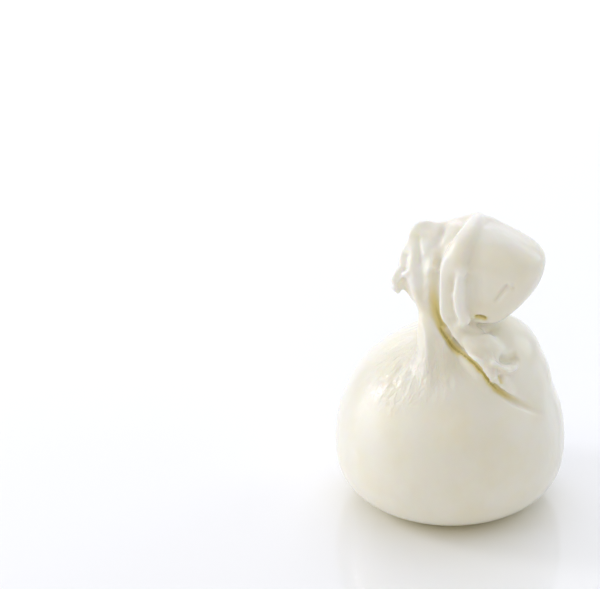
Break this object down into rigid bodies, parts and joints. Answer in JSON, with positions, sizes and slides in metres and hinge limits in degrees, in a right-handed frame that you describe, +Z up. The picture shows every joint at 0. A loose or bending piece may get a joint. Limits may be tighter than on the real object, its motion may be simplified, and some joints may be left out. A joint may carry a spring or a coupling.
{
  "type": "burrata",
  "caption": "Fresh pouch cheese: a round sagging body gathered into a short neck and knotted on top, with one puffed lobe and one open petal.",
  "frame": {"origin": "centre of the base, on the flat patch the cheese rests on", "axes": "+Z up through the knot, -Y towards the side with the long fold, +X towards the puffed lobe"},
  "size_m": [0.0618, 0.0618, 0.0838],
  "materials": {
    "curd": "wet, soft gloss"
  },
  "bodies": {
    "root": {"burrata": "curd"}
  },
  "joints": []
}
